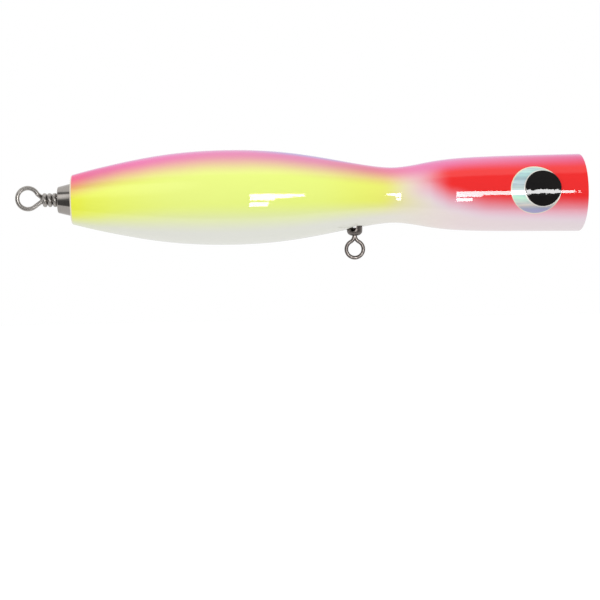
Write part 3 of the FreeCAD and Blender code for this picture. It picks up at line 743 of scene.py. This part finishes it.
table_width, table_z = 8, -0.4
white_end_y, white_fade = -0.3, 0.06
bpy.ops.object.select_all(action="DESELECT")
bpy.ops.mesh.primitive_plane_add(size=table_width)
table = bpy.context.object
table.name = "white_table"
bpy.ops.object.mode_set(mode="EDIT")
bpy.ops.transform.translate(value=(0, 0, table_z))
bpy.ops.object.mode_set(mode="OBJECT")

# Matt white laminate: so brightly and evenly lit that no shadow shows on it. A mirror shows it dark from
# 0.3 m in front of the lure, as the floor of the room.
laminate, tree, shader = new_finish("matt_white_laminate")
shader.inputs["Base Color"].default_value = tone("F7F7F7")
shader.inputs["Roughness"].default_value = 0.9
shader.inputs["Specular IOR Level"].default_value = 0.0
rays = node(tree, "ShaderNodeLightPath", {}).outputs
glow = node(tree, "ShaderNodeEmission", {"Color": tone("FFFFFF"), "Strength": 0.45})
lit = node(tree, "ShaderNodeAddShader", {0: shader.outputs[0], 1: glow.outputs[0]})
shown = node(tree, "ShaderNodeMixShader", {0: rays["Is Camera Ray"], 1: shader.outputs[0],
                                           2: lit.outputs[0]})
place = node(tree, "ShaderNodeTexCoord", {}).outputs["Object"]
forward = node(tree, "ShaderNodeSeparateXYZ", {0: place}).outputs["Y"]
in_front = node(tree, "ShaderNodeMapRange", {0: forward, 1: white_end_y,
                                             2: white_end_y - white_fade}).outputs[0]
in_front = node(tree, "ShaderNodeMath", {0: in_front, 1: rays["Is Glossy Ray"]},
                operation="MULTIPLY").outputs[0]
shade = node(tree, "ShaderNodeEmission", {"Color": tone("FFFFFF"), "Strength": 0.12})
shown = node(tree, "ShaderNodeMixShader", {0: in_front, 1: shown.outputs[0], 2: shade.outputs[0]})
tree.links.new(shown.outputs[0], tree.nodes["Material Output"].inputs["Surface"])
table.data.materials.append(laminate)

# The room, by direction: grey walls on the camera's side between the steep white above and below, and on
# the left wall a soft bright patch where a window lights it, cut off level by the window's lintel
room = bpy.data.worlds.new("studio_room")
bpy.context.scene.world = room
room.use_nodes = True
tree = room.node_tree
direction = node(tree, "ShaderNodeTexCoord", {}).outputs["Generated"]
axes = node(tree, "ShaderNodeSeparateXYZ", {0: direction}).outputs
steep = node(tree, "ShaderNodeMath", {0: axes["Z"]}, operation="ABSOLUTE").outputs[0]
level = node(tree, "ShaderNodeMapRange", {0: steep, 1: 0.80, 2: 0.88, 3: 1.0, 4: 0.0},
             interpolation_type="SMOOTHSTEP").outputs[0]
this_side = node(tree, "ShaderNodeMapRange", {0: axes["Y"], 1: -0.25, 2: 0.0, 3: 1.0, 4: 0.0},
                 interpolation_type="SMOOTHSTEP").outputs[0]
wall = node(tree, "ShaderNodeMath", {0: level, 1: this_side}, operation="MULTIPLY").outputs[0]
window_way = Vector((-0.53, -0.69, 0.49)).normalized()
facing = node(tree, "ShaderNodeVectorMath", {0: direction, 1: window_way},
              operation="DOT_PRODUCT").outputs["Value"]
patch = node(tree, "ShaderNodeMapRange", {0: facing, 1: 0.88, 2: 1.0, 3: 0.0, 4: 1.25}).outputs[0]
lintel = node(tree, "ShaderNodeMapRange", {0: axes["Z"], 1: 0.62, 2: 0.70, 3: 1.0, 4: 0.0}).outputs[0]
patch = node(tree, "ShaderNodeMath", {0: patch, 1: lintel}, operation="MULTIPLY").outputs[0]
mirrored = node(tree, "ShaderNodeMapRange", {0: wall, 3: 1.0, 4: 0.2}).outputs[0]
mirrored = node(tree, "ShaderNodeMath", {0: mirrored, 1: patch}, operation="ADD").outputs[0]
rays = node(tree, "ShaderNodeLightPath", {}).outputs
even = node(tree, "ShaderNodeMapRange", {0: rays["Is Camera Ray"], 3: 0.9, 4: 1.0}).outputs[0]
strength = node(tree, "ShaderNodeMix", {0: rays["Is Glossy Ray"], 2: even, 3: mirrored}).outputs[0]
tree.links.new(strength, tree.nodes["Background"].inputs["Strength"])
tree.nodes["Background"].inputs["Color"].default_value = tone("FFFFFF")

camera_data = bpy.data.cameras.new("camera")
camera_data.lens = 85.6
camera_data.sensor_width = 36.0
camera_data.clip_start = 0.01
camera = bpy.data.objects.new("camera", camera_data)
bpy.context.scene.collection.objects.link(camera)
camera.location = Vector((-149.8, -557.9, 0.2)) * MM
turn_to_side, tip_down, roll = math.radians(4.145), math.radians(4.17), math.radians(0.84)
camera.rotation_euler = (Matrix.Rotation(-turn_to_side, 3, "Z")
                         @ Matrix.Rotation(math.pi / 2 - tip_down, 3, "X")
                         @ Matrix.Rotation(-roll, 3, "Z")).to_euler()
bpy.context.scene.camera = camera


def lamp(name, centre, size, facing, strength, **shown_in):
    """A flat lamp of a width and a height at a place in metres, with a given radiance."""
    data = bpy.data.lights.new(name, "AREA")
    data.shape = "RECTANGLE"
    data.size, data.size_y = size
    data.energy = strength * math.pi * size[0] * size[1]
    made = bpy.data.objects.new(name, data)
    bpy.context.scene.collection.objects.link(made)
    made.location = centre
    made.rotation_euler = (Vector(centre) - Vector(facing)).to_track_quat("Z", "Y").to_euler()
    for way, shows in shown_in.items():
        setattr(made, "visible_" + way, shows)


# The window narrows to the right in its three panes, and the second one stands below it
window_y, window_radiance = -0.77, 19.0
for name, left, right, low, high in (("window_left", -0.05, 0.05, -0.115, 0.105),
                                     ("window_middle", 0.05, 0.13, -0.05, 0.10),
                                     ("window_right", 0.13, 0.183, -0.01, 0.09),
                                     ("low_window", -0.05, 0.03, -0.32, -0.17)):
    centre = ((left + right) / 2, window_y, (low + high) / 2)
    lamp(name, centre, (right - left, high - low), (centre[0], 0, centre[2]), window_radiance, diffuse=False)
lamp("overhead", (-0.1, -0.5, 0.87), (0.9, 0.7), (-0.1, 0, 0), 0.9, glossy=False)

bpy.context.scene.view_settings.view_transform = "Standard"
